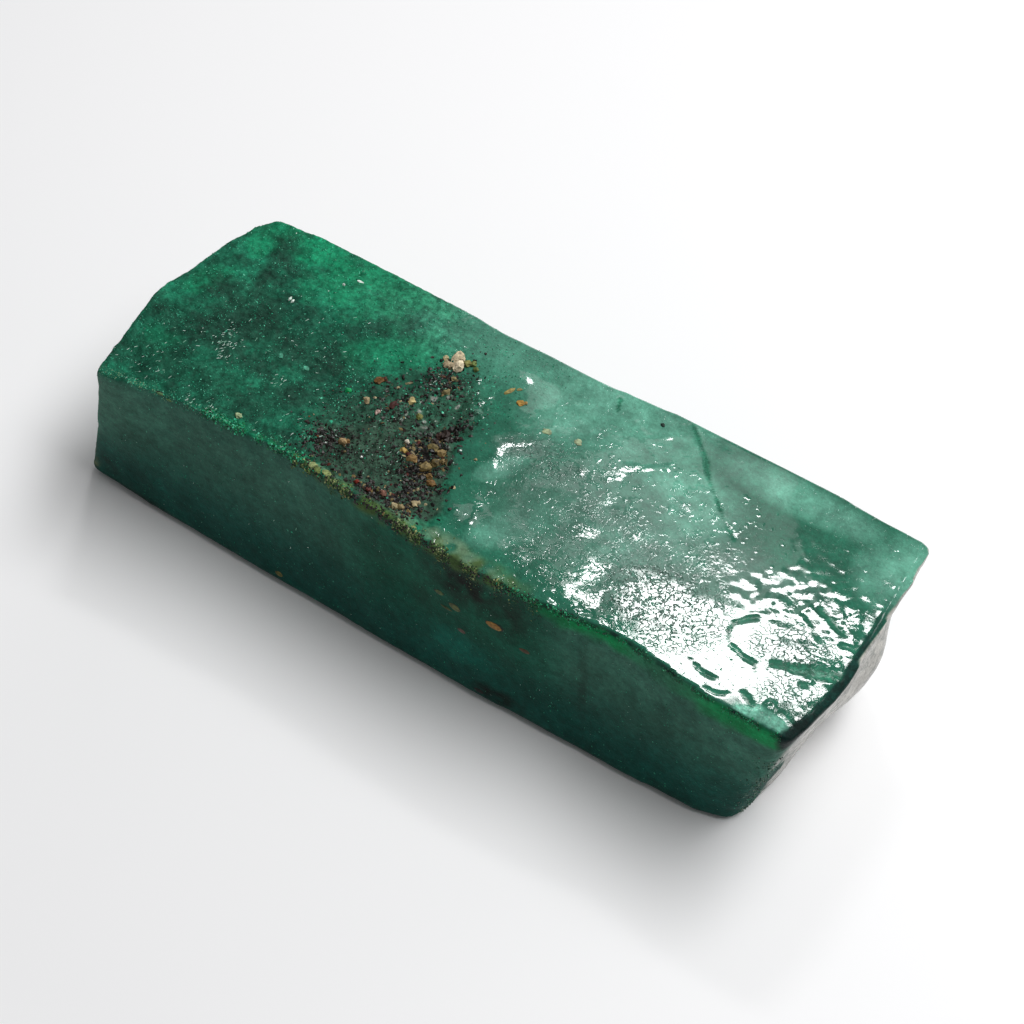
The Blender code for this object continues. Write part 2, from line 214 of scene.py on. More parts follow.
def ripples(places, *parts):
    """A sum of smooth noises, each given as (height, size, seed)."""
    return sum(height * ripple(places, size, seed) for height, size, seed in parts)


def cells(places, size, seed):
    """Distance to the middle of the nearest cell, 0 in a middle and about 1 between cells."""
    shift = Vector((seed, 0.7 * seed, -seed))
    return np.array([noise.voronoi(Vector(place) / size + shift)[0][0] for place in places])


def flat(places):
    """The same places laid on one level."""
    return places * (1, 1, 0)


def oval(x, y, centre_x, centre_y, length, width, turn):
    """A rounded rise, 1 in the middle and 0 from the rim of an oval outwards."""
    turn = math.radians(turn)
    along = ((x - centre_x) * math.cos(turn) + (y - centre_y) * math.sin(turn)) / length
    across = ((y - centre_y) * math.cos(turn) - (x - centre_x) * math.sin(turn)) / width
    return np.clip(1 - along * along - across * across, 0, None) ** 2


def distance_to_line(x, y, line):
    """Distance from each place to a line of straight stretches."""
    nearest = np.full(len(x), 1e9)
    for (x1, y1), (x2, y2) in zip(line, line[1:]):
        run_x, run_y = x2 - x1, y2 - y1
        part = unit(((x - x1) * run_x + (y - y1) * run_y) / (run_x ** 2 + run_y ** 2))
        nearest = np.minimum(nearest, np.hypot(x - x1 - part * run_x, y - y1 - part * run_y))
    return nearest


def inside(x, y, outline):
    """Whether each place is inside a closed outline."""
    crossed = np.zeros(len(x), dtype=bool)
    for (x1, y1), (x2, y2) in zip(outline, outline[1:] + outline[:1]):
        if y1 != y2:
            crossed ^= ((y1 > y) != (y2 > y)) & (x < x1 + (y - y1) * (x2 - x1) / (y2 - y1))
    return crossed


def depth_inside(x, y, outline):
    """Distance from the outline, positive inside it and negative outside."""
    away = distance_to_line(x, y, outline + outline[:1])
    return np.where(inside(x, y, outline), away, -away)


def interpolate(values, pairs):
    return np.interp(values, [pair[0] for pair in pairs], [pair[1] for pair in pairs])


def coat_share(places):
    """1 under the wet coat, 0 on the dry broken stone."""
    x, y, _ = places.T
    wander = ripples(flat(places), (1.2, 2.8, 5), (0.5, 0.8, 6))
    soft = mix(0.7, 4, ease(12, 22, y))
    return ease(-1, 1, (x - interpolate(y, COAT_EDGE) + wander) / soft)


def broad_relief(x, y):
    """The slow rise and fall of the top face."""
    level = np.column_stack((x, y, np.zeros(len(x))))
    covered = ease(33, 41, x)
    height = 0.16 * ripple(level, 7, 3) + 0.09 * ripple(level, 2.6, 8) * (1 - 0.5 * covered)
    for *shape, rise in SWELLINGS:
        height += rise * oval(x, y, *shape)
    corner = (x / 7) ** 2 + (y / 6) ** 2
    return height * mix(1, WET_CALM, covered) - CORNER_DROP * np.exp(-corner)


def beads(places, spacing, seed, reach):
    """Round beads this far apart, 1 at the top of each."""
    return np.clip(1 - (cells(flat(places), spacing, seed) / reach) ** 2, 0, None) ** 2


def drops(places):
    """Rounded drops, 1 at the top of each, where the coat has run together."""
    x, y, _ = places.T
    patch = ease(62, 72, x) * ease(8.5, 11, y) * ease(25, 14, y) + ease(78, 79.4, x)
    patch = unit(patch) * ease(-0.45, 0.1, ripple(flat(places), 2.6, 41))
    bent = places + 0.35 * np.column_stack((ripple(places, 1.3, 42), ripple(places, 1.3, 43), np.zeros(len(x))))
    return patch * beads(bent, 1.15, 2, 0.75)


def edge_drops(places):
    """The string of drops where the coat ran to the front edge and set."""
    x, y, _ = places.T
    along = ease(50.5, 52, x) * ease(60.5, 58.5, x) * ease(2.2, 1.2, y - interpolate(x, FRONT_TOP))
    return along * beads(places, 0.8, 61, 0.72)


def stipple_share(places):
    """Where the coat is peppered and creased."""
    x, y, _ = places.T
    spots = sum(share * oval(x, y, *shape) for share, shape in STIPPLED)
    return unit(1.3 * spots * (0.85 + 0.6 * ripple(flat(places), 2.2, 26)))


def wave_share(places):
    """Where the coat dried in fine waves."""
    x, y, _ = places.T
    calm = np.clip(sum(share * oval(x, y, *shape) for share, shape in CALM), 0, 0.85)
    lobes = oval(x, y, 76.5, 10, 8, 6.5, 0) ** 0.5 + 0.5 * oval(x, y, 46, 3.5, 11, 4.5, 0)
    uneven = 0.2 + ripples(flat(places), (0.7, 3.2, 27), (0.4, 1.3, 28)) + lobes
    return np.clip(uneven, 0.05, 1) * (1 - calm) * mix(1, 0.3, ease(17, 22, y)) * ease(34, 42, x)


def blister_share(places):
    """Where the coat is strewn with small blisters."""
    x, y, _ = places.T
    patch = ease(38, 41, x) * ease(66, 60, x) * ease(24, 18, y)
    return unit(patch * (0.45 + 1.1 * ripple(flat(places), 2.4, 71)))


def bare_share(places):
    """Where the coat has run off."""
    x, y, _ = places.T
    wave = ripples(flat(places), (0.12, 0.7, 24), (0.16, 2, 25))
    return strongest(ease(1.25, 0.6, (distance_to_line(x, y, line) + wave) / half_width)
                     for line, half_width in BARE_LINES)


def sugary_share(places):
    """A sugary patch by the front edge that took no coat."""
    x, y, _ = places.T
    return ease(0.95, 0.45, distance_to_line(x, y, SUGARY_PATCH) + 0.35 * ripple(flat(places), 0.8, 29))


def coat_relief(places):
    """The hardened coat: ridges, grooves, drops and a fine orange-peel skin."""
    x, y, _ = places.T
    level = flat(places)
    height = 0.022 * drops(places) + 0.07 * edge_drops(places)
    wave = ripples(level, (0.28, 1.1, 11), (0.12, 0.5, 19))
    uneven = np.clip(0.75 + 0.9 * ripple(level, 1.6, 10), 0.1, 1.3)
    for line, half_width, rise in COAT_LINES:
        height += rise * uneven * np.exp(-((distance_to_line(x, y, line) + wave) / half_width) ** 2)
    for *shape, rise in COAT_MOUNDS:
        height += rise * oval(x + wave, y + wave, *shape)
    patchy = 0.5 + 0.5 * ripple(level, 4, 12)
    waves = wave_share(places)
    height += (0.002 + 0.008 * patchy * waves) * ripple(level, 1.3, 13)
    height += (0.0006 + 0.003 * waves * waves) * ripple(level, 0.6, 14)
    return height - 0.02 * bare_share(places)


def dry_relief(places):
    """The sugary broken surface of the dry half."""
    level = flat(places)
    coarse = np.abs(ripple(level, 1.4, 15))
    fine = ripple(level, 0.62, 16)
    grit = ripple(level, 0.42, 17)
    rough = 1 + 1.9 * rubble_share(places)
    return (0.16 * coarse + 0.09 * fine + 0.07 * grit) * rough


def rubble_share(places):
    """Around the pocket, where the broken beryl is full of small pits and schist."""
    x, y, _ = places.T
    bed = np.maximum(oval(x, y, 29.5, 9.5, 13, 8.5, 60), oval(x, y, 33.5, 17.5, 5.5, 5, 0))
    return unit(1.6 * bed + 0.25 * ripple(flat(places), 1.8, 44) * (bed > 0))


def pocket_share(places):
    x, y, _ = places.T
    return ease(-0.4, 0.8, depth_inside(x, y, POCKET) + 0.25 * ripple(flat(places), 0.9, 18))


def top_height(places):
    """Z of the top face at each place."""
    x, y, _ = places.T
    coat = coat_share(places)
    pocket = pocket_share(places)
    left, right = POCKET_SIDES
    sunk = pocket * mix(*POCKET_DEPTHS, unit((x - left) / (right - left)))
    skin = mix(dry_relief(places), coat_relief(places), coat * (1 - pocket))
    lip = LIP_DROP * ease(LIP_WIDTH, 0, interpolate(y, RIGHT_EDGE) - x)
    return HEIGHT + broad_relief(x, y) + skin - sunk - lip


def side_relief(places):
    """Fine relief of the sawn and broken sides."""
    return ripples(places, (0.05, 1.6, 22), (0.03, 0.8, 23))


def kept_mesh(name, mesh):
    """Keep finished bmesh geometry as a mesh."""
    data = bpy.data.meshes.new(name)
    mesh.to_mesh(data)
    mesh.free()
    return data


def new_piece(name, mesh, smooth=True):
    """Make a piece of the object from finished bmesh geometry."""
    data = kept_mesh(name, mesh)
    if smooth:
        data.shade_smooth()
    piece = bpy.data.objects.new(name, data)
    bpy.context.scene.collection.objects.link(piece)
    return piece


def even_grid(node):
    """The node's solid as one even mesh of small squares."""
    mesh = bmesh.new()
    mesh.from_mesh(node.data)
    bmesh.ops.remove_doubles(mesh, verts=mesh.verts, dist=0.001 * MM)
    source = new_piece("grid_source", mesh)
    step = source.modifiers.new("even_grid", "REMESH")
    step.mode = "VOXEL"
    step.voxel_size = GRID * MM
    bpy.context.view_layer.update()
    evaluated = source.evaluated_get(bpy.context.evaluated_depsgraph_get())
    mesh = bmesh.new()
    mesh.from_mesh(evaluated.to_mesh())
    evaluated.to_mesh_clear()
    bpy.data.objects.remove(source, do_unlink=True)
    return mesh


def refine_top(mesh):
    """Halve the grid over the top face and just past its edges."""
    low = (HEIGHT - TOP_EDGE_DROP) * MM
    fine = [face for face in mesh.faces if face.calc_center_median().z > low and face.normal.z > -0.2]
    edges = list({edge for face in fine for edge in face.edges})
    bmesh.ops.subdivide_edges(mesh, edges=edges, cuts=1, use_grid_fill=True)


def stone_places(mesh):
    """Every corner of the mesh in the stone's millimetres, and its outward direction."""
    places = np.array([(vertex.co - CORNER) / MM for vertex in mesh.verts])
    return places, np.array([vertex.normal for vertex in mesh.verts])


def lift_foot(mesh):
    """Round the foot of the stone, so that it stands on a face a little smaller than its outline."""
    rim = [vertex.co for vertex in mesh.verts if 0.5 * FOOT_WIDTH * MM < vertex.co.z < 1.2 * FOOT_WIDTH * MM]
    tree = KDTree(len(rim))
    for index, place in enumerate(rim):
        tree.insert((place.x, place.y, 0), index)
    tree.balance()
    for vertex in mesh.verts:
        if vertex.co.z < FOOT_HEIGHT * MM:
            away = tree.find((vertex.co.x, vertex.co.y, 0))[2] / MM
            part = max(0, 1 - away / FOOT_WIDTH) ** 2 * FOOT_LIFT
            vertex.co.z += part * MM * (1 - vertex.co.z / (FOOT_HEIGHT * MM))


def shape_stone(mesh):
    """Give the even grid the real relief of each face."""
    mesh.normal_update()
    places, directions = stone_places(mesh)
    up = directions[:, 2]
    top = ease(0.55, 0.9, up) * ease(HEIGHT - 2.2, HEIGHT - 1.5, places[:, 2])
    base = ease(0.5, 0.1, places[:, 2])
    side = (1 - top) * (1 - base)
    relief = side_relief(places) * side
    target = top_height(places)
    for index, vertex in enumerate(mesh.verts):
        vertex.co += vertex.normal * float(relief[index]) * MM
        vertex.co.z = mix(vertex.co.z, float(target[index]) * MM, float(top[index]))
        if vertex.co.z < FLAT_BASE * MM:
            vertex.co.z = 0
    lift_foot(mesh)


def veins(places, lines, seed):
    """How strongly a set of veins shows at each place."""
    x, y, _ = places.T
    wander = ripples(flat(places), (1.1, 2.8, seed), (0.5, 0.9, seed + 1))
    return strongest(strength * ease(1.7, 0.3, distance_to_line(x, y, line) / half_width + wander)
                     for line, half_width, strength in lines)


# Clouds in the stone, as ovals: (x, y, length, width, turn in degrees).
# The pale milky clouds are partly the stone's own milkiness and partly painted sheen: the soft lamp's reflection in
# the coat, painted into the colour.
MILK_AND_SHEEN_CLOUDS = (
    (46, 21.5, 12, 7.5, -5), (55.5, 17, 9, 7, 0), (40.5, 11.5, 3.5, 1.6, 60), (45.5, 6, 5.5, 2.6, 60),
    (66, 24.5, 12, 2.5, 0), (78.5, 22, 5, 5.5, 0), (55, 11, 9, 7, 0), (46, 25, 14, 6, 0),
)
GREY_CLOUDS = (
    (50, 11, 11, 9, 20), (60, 8.5, 9, 7, 0), (66, 14, 7, 3, 0), (72, 15.5, 4, 1.6, -10),
    (41, 15, 4, 2, 30),
)
OLIVE_CLOUDS = (
    (41, 0.9, 4.8, 1.1, 0), (36.6, 1, 2, 0.7, 0), (46, 0.2, 3, 0.8, 0), (26.5, 1, 2.4, 0.7, 0),
)


def clouds(places, ovals, seed):
    """How strongly a set of soft-edged clouds shows at each place."""
    x, y, _ = places.T
    level = flat(places)
    share = strongest(oval(x, y, *shape) for shape in ovals)
    ragged = ripples(level, (0.45, 3, seed), (0.35, 1.1, seed + 1))
    return unit(share ** 0.5 * (0.85 + ragged))


DARK_REFLECTION_CORNER = (80.3, 0.6, 19.4)           # painted dark reflection in the wet, rounded front of the right end
STAIN = (-4.9, 3.2, 1.6, 2.6, 0)         # tan, low at the left end: (x, z, length, height, turn in degrees)

# Schist in the front face: (x, z, length, height, turn in degrees, share).
MURK = (
    (44.5, 17, 6.5, 3.4, -8, 1), (49, 16, 3, 4.5, 0, 0.8), (57.6, 12, 0.7, 7, 0, 0.5),
    (47.5, 2.2, 4, 1.5, 0, 1), (-2, 3.4, 1.8, 1.8, 0, 0.6), (2, 0.8, 7, 1, 0, 0.6),
    (40, 11.5, 3, 2.4, -20, 0.4),
)


def zone_shares(places, directions):
    """How much of each finish every place of the stone has, by name."""
    x, y, z = places.T
    level = flat(places)
    top = ease(0.35, 0.75, directions[:, 2]) * ease(HEIGHT - 2.5, HEIGHT - 1.2, z)
    off_top = 1 - top
    end = ease(0, 0.25, directions[:, 0] - mix(0.86, 0.45, ease(0.5, 5, y)))
    ragged = ripples(places, (1.5, 2.2, 64), (0.8, 0.7, 65))
    end = end * (1 - ease(12.4, 11, z + ragged) * ease(5.3, 4.4, y + ragged))
    end = end * (1 - ease(HEIGHT - 1.4, HEIGHT - 0.9, z + 0.4 * ragged) * ease(11.5, 10, y + ragged))
    coat = coat_share(places)
    pocket = pocket_share(places)
    onto = (y - interpolate(x, FRONT_TOP)) - (HEIGHT - z)
    rubble = rubble_share(places)
    front = ease(0.1, 0.6, -directions[:, 1]) * off_top
    rear = ease(0.1, 0.6, np.maximum(directions[:, 1], -directions[:, 0])) * off_top
    drift = 0.25 + ripples(places, (0.9, 6, 73), (0.5, 2.2, 74))
    grainy = depth_inside(x, y, SOOT) + ripples(level, (0.9, 1.5, 31), (0.4, 0.6, 36))
    crusty = ease(23, 26, x) * ease(53, 47, x) * ease(-1.9, -0.5, onto)
    crusty = crusty * ease(mix(1.2, 2.6, ease(36, 41, x)), 0.3, onto)
    to_end = interpolate(y, RIGHT_EDGE) - x + 0.25 * ripple(level, 0.9, 75)
    near_end = ease(1.7, 1.2, to_end) * ease(22, 12, y)
    # Breaks up the painted dark reflection along the top front edge into patches.
    rim_patches = unit(0.65 + 1.3 * ripple(places, 0.9, 62))
    bare, sugary = bare_share(places), sugary_share(places)
    # How strongly the painted light at the top of the sides shows along the block: less over its middle.
    upper_light_spread = (1 - 0.8 * ease(24, 36, x) * ease(58, 52, x)) * (0.9 + 0.5 * ripple(places, 2, 63))
    # Painted sheen: the top is paled towards its back, in place of a reflection.
    painted_back_sheen = 0.45 * ease(10, 38, x) * ease(60, 50, x) * ease(17, 24, y)
    under_coat = coat * top * (1 - pocket) * (1 - near_end) * (1 - 0.92 * np.maximum(bare, sugary))
    return {
        "coat": np.maximum(under_coat, 0.5 * end),
        "side": off_top,
        "stain": oval(x, z, *STAIN) ** 0.5 * ease(4.5, 0.5, y) * unit(0.55 + 2 * ripple(places, 0.8, 76)),
        "end": end,
        "soot": ease(-0.7, 0.4, grainy) * top,
        # Milky clouds under the coat, partly painted sheen, and the painted sheen towards the back.
        "milk_and_sheen": np.maximum(coat * np.maximum(0.85 * clouds(places, MILK_AND_SHEEN_CLOUDS, 51), sugary), painted_back_sheen) * top,
        "bare": coat * bare * top,
        "grey": coat * clouds(places, GREY_CLOUDS, 53) * top,
        "coated": coat * top,
        "shade": veins(places, DARK_VEINS, 33) * top * (1 - coat),
        "vivid": veins(places, VIVID_CLOUDS, 37) * top * (1 - coat),
        "glow": edge_glow(x, z, places) * np.maximum(front, ease(79.5, 80.2, x) * off_top),
        "murk": front_murk(x, z, places) * front,
        # Painted shade and light on the sides: darker towards the foot, lighter towards the top, most at the left
        # end.
        "low": ease(15, 2, z) * off_top,
        "upper": ease(5, 17, z) * np.maximum(ease(14, -2, x), 0.62 * upper_light_spread) * off_top,
        "stipple": stipple_share(places),
        "waves": wave_share(places),
        "blisters": blister_share(places),
        "middle": ease(24, 34, x) * ease(60, 50, x) * off_top,
        "teal": oval(x, z, 43.5, 7, 5, 3.4, 0) * front * (0.8 + 0.5 * ripple(places, 1.5, 47)),
        "rubble": rubble * top * (1 - 0.7 * coat),
        "drift": 0.6 * unit(drift) * rear,
        "mossy": unit(crusty * (0.6 + 1.9 * ripple(places, 1.3, 45))),
        "olive": clouds(places, OLIVE_CLOUDS, 57) * top * np.clip(0.45 + 1.6 * ripple(places, 0.9, 58), 0, 0.8),
        # Painted dark reflection in the rounded wet edges: in patches along the top front edge and as a band along
        # the right edge.
        "rim": np.maximum(ease(0.6, 0.1, np.abs(onto)) * ease(50, 54, x) * rim_patches, near_end) * (1 - end),
        # Painted dark reflection at the front of the right end.
        "dark_reflection_corner": ease(2.3, 1, np.linalg.norm((places - DARK_REFLECTION_CORNER) * (1, 0.55, 0.8), axis=1)),
    }


def front_murk(x, z, places):
    """Brown-black schist showing through the front face."""
    wander = ripples(places, (0.5, 2.2, 38), (0.35, 0.8, 39))
    share = strongest(strength * oval(x, z, *shape) ** 0.5 for *shape, strength in MURK)
    return share * unit(0.85 + 2.2 * wander)


def edge_glow(x, z, places):
    """Bright green where light comes through the top front edge."""
    band = ease(HEIGHT - 2.7, HEIGHT - 1.1, z + 0.9 * ripple(places, 1.8, 34) + 0.06 * (x - 60))
    strong = ease(50, 55, x) * ease(64, 59, x) + 0.3 * ease(58, 62, x) + 0.7 * ease(67, 73, x)
    return band * unit(strong) * ease(80.5, 78.5, x)


def linear(code):
    """Linear colour of an sRGB hex code."""
    values = [int(code[i:i + 2], 16) / 255 for i in (1, 3, 5)]
    return (*[v / 12.92 if v <= 0.04045 else ((v + 0.055) / 1.055) ** 2.4 for v in values], 1)


def add(tree, kind, inputs, output=0, **settings):
    """Add a shader node with its settings, and with a value or a link for each input; gives one of its outputs.

    Inputs go by name, or by number: a Map Range takes its value, the two ends that it runs between and what
    those become, a float Mix takes its share as 0 and what it mixes as 2 and 3, and a colour Mix as 6 and 7.
    """
    node = tree.nodes.new("ShaderNode" + kind)
    for name, value in settings.items():
        setattr(node, name, value)
    for key, value in inputs.items():
        if isinstance(value, bpy.types.NodeSocket):
            tree.links.new(value, node.inputs[key])
        else:
            node.inputs[key].default_value = value
    return node.outputs[output]


def start_material(name):
    """A new material, its tree, its surface shader's inputs and its object coordinates."""
    material = bpy.data.materials.new(name)
    material.use_nodes = True
    tree = material.node_tree
    return material, tree, tree.nodes["Principled BSDF"].inputs, add(tree, "TexCoord", {}, "Object")


BERYL_IOR = 1.575
COAT_IOR = 1.5               # a clear resin or oil
COLOUR = 2                   # a mixed colour is this output of its node

# Colour layers of the stone, from the bottom one up: (share, colour at full share).
# Painted light among these: the milky clouds are partly painted sheen, the sides are painted darker towards the foot
# and lighter towards the top, and the dark rims along the wet edges and at the right front corner are painted dark
# reflections.
STONE_LAYERS = (
    ("vivid", "#167d57"), ("shade", "#1a3e31"), ("rubble", "#2b5341"), ("coated", "#1b604a"),
    ("milk_and_sheen", "#66a58f"), ("grey", "#456e5f"), ("bare", "#2a6a53"), ("soot", "#324c3d"), ("side", "#1f4e42"),
    ("middle", "#054b38"), ("low", "#0d453c"), ("teal", "#0c6657"), ("upper", "#437361"), ("drift", "#2c6f57"),
    ("glow", "#0a8049"), ("murk", "#141813"), ("mossy", "#40592f"), ("olive", "#6d8a6e"), ("stain", "#6e6a48"),
    ("end", "#a5a39c"), ("rim", "#072a24"), ("dark_reflection_corner", "#061d1a"),
)

# Noises of the stone: (size in millimetres, detail, roughness, distortion).
STONE_NOISES = {
    "slow": (5, 7, 0.6, 0),            # clouding as wide as a finger tip
    "sugar": (1.7, 3, 0.65, 0),        # broken crystal faces, in three sizes
    "sugar_mid": (0.5, 3, 0.65, 0),
    "sugar_fine": (0.2, 3, 0.65, 0),
    "schist": (0.38, 3, 0.7, 0.6),     # dark specks between the beryl
    "seams": (4.5, 6, 0.68, 0.25),     # grey seams of the pale right end
    "grit": (0.25, 2, 0.6, 0),         # saw and fracture grit, coarser than real so that it shows
    "wrinkle": (0.58, 1.2, 0.5, 0),    # spacing of the coat's creases
    "dots": (0.26, 1.5, 0.5, 0),       # pinholes in the coat
    "swell": (0.33, 1, 0.5, 0),        # the coat's orange peel
    "lump": (0.8, 1.5, 0.5, 0),        # blisters
}
SUGAR_RANGES = (("sugar", 0.55, 1.45), ("sugar_mid", 0.55, 1.45), ("sugar_fine", 0.72, 1.28))
BEAD_SPACING = 0.95
SAWN_LENGTH, SAWN_SIZE = 0.75, 0.7       # the sides' streaks are drawn out along the block
GRIT_DEPTH, FILM_DEPTH = 0.09, 0.045     # relief of the bumps, millimetres


def stone_material():
    """Rough beryl: sugary where it broke, dull where it was sawn, glassy under its clear coat."""
    material, tree, surface, place = start_material("rough_beryl")
    share = {name: add(tree, "Attribute", {}, "Fac", attribute_name=name)
             for name in ("coat", "stipple", "waves", "blisters", *[layer[0] for layer in STONE_LAYERS])}
    noises = {name: add(tree, "TexNoise", {"Vector": place, "Scale": 1 / (size * MM), "Detail": detail,
                                           "Roughness": rough, "Distortion": bend})
              for name, (size, detail, rough, bend) in STONE_NOISES.items()}

    # Body colour, the zones over it, and the light and dark of broken crystal.
    cloudy = add(tree, "MapRange", {0: noises["slow"], 1: 0.38, 2: 0.62})
    colour = add(tree, "Mix", {0: cloudy, 6: linear("#184838"), 7: linear("#19664c")}, COLOUR, data_type="RGBA")
    for name, code in STONE_LAYERS:
        colour = add(tree, "Mix", {0: share[name], 6: colour, 7: linear(code)}, COLOUR, data_type="RGBA")
    light = add(tree, "MapRange", {0: noises["slow"], 1: 0.35, 2: 0.65, 3: 0.8, 4: 1.2})
    even = add(tree, "Math", {0: share["coat"], 1: share["side"]}, operation="MAXIMUM")
    calm = add(tree, "Math", {0: even, 1: 0.55}, operation="MULTIPLY")
    for name, low, high in SUGAR_RANGES:
        part = add(tree, "MapRange", {0: noises[name], 1: 0.28, 2: 0.72, 3: low, 4: high})
        calmed = add(tree, "Mix", {0: calm, 2: part, 3: 1})
        light = add(tree, "Math", {0: light, 1: calmed}, operation="MULTIPLY")
    colour = add(tree, "VectorMath", {0: colour, "Scale": light}, operation="SCALE")

    # Streaks of the sides, schist specks round the pocket and seams of the pale end.
    long_way = add(tree, "Mapping", {"Vector": place, "Scale": (SAWN_LENGTH, 1, 1)})
    sawn = add(tree, "TexNoise", {"Vector": long_way, "Scale": 1 / (SAWN_SIZE * MM), "Detail": 4,
                                  "Roughness": 0.7})
    streak = add(tree, "MapRange", {0: sawn, 1: 0.3, 2: 0.7, 3: 0.8, 4: 1.22})
    streaky = add(tree, "Mix", {0: share["side"], 2: 1, 3: streak})
    colour = add(tree, "VectorMath", {0: colour, "Scale": streaky}, operation="SCALE")
    specks = add(tree, "MapRange", {0: noises["schist"], 1: 0.53, 2: 0.63})
    dark = add(tree, "Math", {0: specks, 1: share["rubble"]}, operation="MULTIPLY")
    away = add(tree, "Math", {0: noises["seams"], 1: 0.5}, operation="SUBTRACT")
    near = add(tree, "Math", {0: away}, operation="ABSOLUTE")
    seam = add(tree, "MapRange", {0: near, 1: 0, 2: 0.05, 3: 0.6, 4: 0})
    vein = add(tree, "Math", {0: seam, 1: share["end"]}, operation="MULTIPLY")

    # Relief of the coat: creases, pinholes, beads, orange peel and blisters.
    folded = add(tree, "Math", {0: noises["wrinkle"], 1: 0.5}, operation="SUBTRACT")
    crease = add(tree, "Math", {0: folded}, operation="ABSOLUTE")
    groove = add(tree, "MapRange", {0: crease, 1: 0, 2: 0.045, 3: 0, 4: 0.42}, interpolation_type="SMOOTHSTEP")
    crease_height = add(tree, "Math", {0: groove, 1: share["stipple"]}, operation="MULTIPLY")
    deeper = add(tree, "Math", {0: share["stipple"], 1: 0.07, 2: noises["dots"]}, operation="MULTIPLY_ADD")
    pits = add(tree, "MapRange", {0: deeper, 1: 0.69, 2: 0.8, 3: 0.6, 4: 0})
    off_middle = add(tree, "TexVoronoi", {"Vector": place, "Scale": 1 / (BEAD_SPACING * MM)}, "Distance")
    bead = add(tree, "MapRange", {0: off_middle, 1: 0, 2: 0.3, 3: 0.8, 4: 0}, interpolation_type="SMOOTHSTEP")
    chosen = add(tree, "MapRange", {0: off_middle.node.outputs["Color"], 1: 0.52, 2: 0.56})
    few = add(tree, "Math", {0: bead, 1: chosen}, operation="MULTIPLY")
    peel = add(tree, "Math", {0: noises["swell"], 1: 0.12, 2: few}, operation="MULTIPLY_ADD")
    waved = add(tree, "Math", {0: peel, 1: share["waves"], 2: pits}, operation="MULTIPLY_ADD")
    blister = add(tree, "MapRange", {0: noises["lump"], 1: 0.55, 2: 0.68, 3: 0, 4: 0.7},
                  interpolation_type="SMOOTHSTEP")
    blistered = add(tree, "Math", {0: blister, 1: share["blisters"], 2: waved}, operation="MULTIPLY_ADD")
    film = add(tree, "Math", {0: crease_height, 1: 1.15, 2: blistered}, operation="MULTIPLY_ADD")

    # The bottoms of the creases are darkened: painted shade.
    fold = add(tree, "MapRange", {0: crease, 1: 0, 2: 0.04, 3: 0.85, 4: 0})
    crease_shade = add(tree, "Math", {0: fold, 1: share["stipple"]}, operation="MULTIPLY")
    for mark, code in ((dark, "#151a15"), (vein, "#4c5852"), (crease_shade, "#14231c")):
        colour = add(tree, "Mix", {0: mark, 6: colour, 7: linear(code)}, COLOUR, data_type="RGBA")

    tree.links.new(colour, surface["Base Color"])
    for name, height, depth in (("Normal", noises["grit"], GRIT_DEPTH), ("Coat Normal", film, FILM_DEPTH)):
        bump = add(tree, "Bump", {"Height": height, "Strength": 1, "Distance": depth * MM})
        tree.links.new(bump, surface[name])
    tree.links.new(share["coat"], surface["Coat Weight"])
    for name, value in (("Roughness", 0.6), ("Specular IOR Level", 0.07), ("IOR", BERYL_IOR),
                        ("Coat Roughness", 0.055), ("Coat IOR", COAT_IOR)):
        surface[name].default_value = value
    return material


def stone_body():
    """The crystal itself."""
    mesh = even_grid(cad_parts["raw_crystal"])
    refine_top(mesh)
    for _ in range(SMOOTHING_PASSES):
        bmesh.ops.smooth_vert(mesh, verts=mesh.verts, factor=0.5, use_axis_x=True, use_axis_y=True, use_axis_z=True)
    shape_stone(mesh)
    mesh.normal_update()
    places, directions = stone_places(mesh)
    surface = BVHTree.FromBMesh(mesh)
    piece = new_piece("emerald_stone", mesh)
    for name, values in zone_shares(places, directions).items():
        layer = piece.data.attributes.new(name, "FLOAT", "POINT")
        layer.data.foreach_set("value", unit(values).astype(np.float32))
    piece.data.materials.append(stone_material())
    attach(piece, "root")
    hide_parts("raw_crystal")
    return surface


# Grains by kind: the colours that each kind is found in.
TINTS = {
    "mica": ("#0d0b0a", "#13100d", "#1b1511", "#211813", "#0c0f0c", "#2a241f"),
    "feldspar": ("#6f6344", "#857a58", "#574b30", "#463d26", "#75643f", "#44421f", "#9c9070"),
    "garnet": ("#54341d", "#63401f", "#40251a", "#4a1c15"),
    "moss": ("#3f5a2e", "#55703a", "#274424", "#858f5c", "#1c3a1f", "#35552f", "#8f9a6e", "#66794a"),
    "ridge": ("#0c5a38", "#127045", "#08442d", "#2a9a6a"),
    "sugar": ("#15795a", "#23936f", "#3bb08a", "#0d553f", "#10694e", "#58bf9c"),
    "frost": ("#c3ddd0", "#dcefe6", "#8cc0a8"),
    "corner": ("#1d4a3a", "#28604a", "#123427", "#3f7a60", "#5f7a68", "#0f2a20"),
    "pale_edge": ("#4f8a6c", "#6f9a7c", "#34705a", "#7f9670"),
}

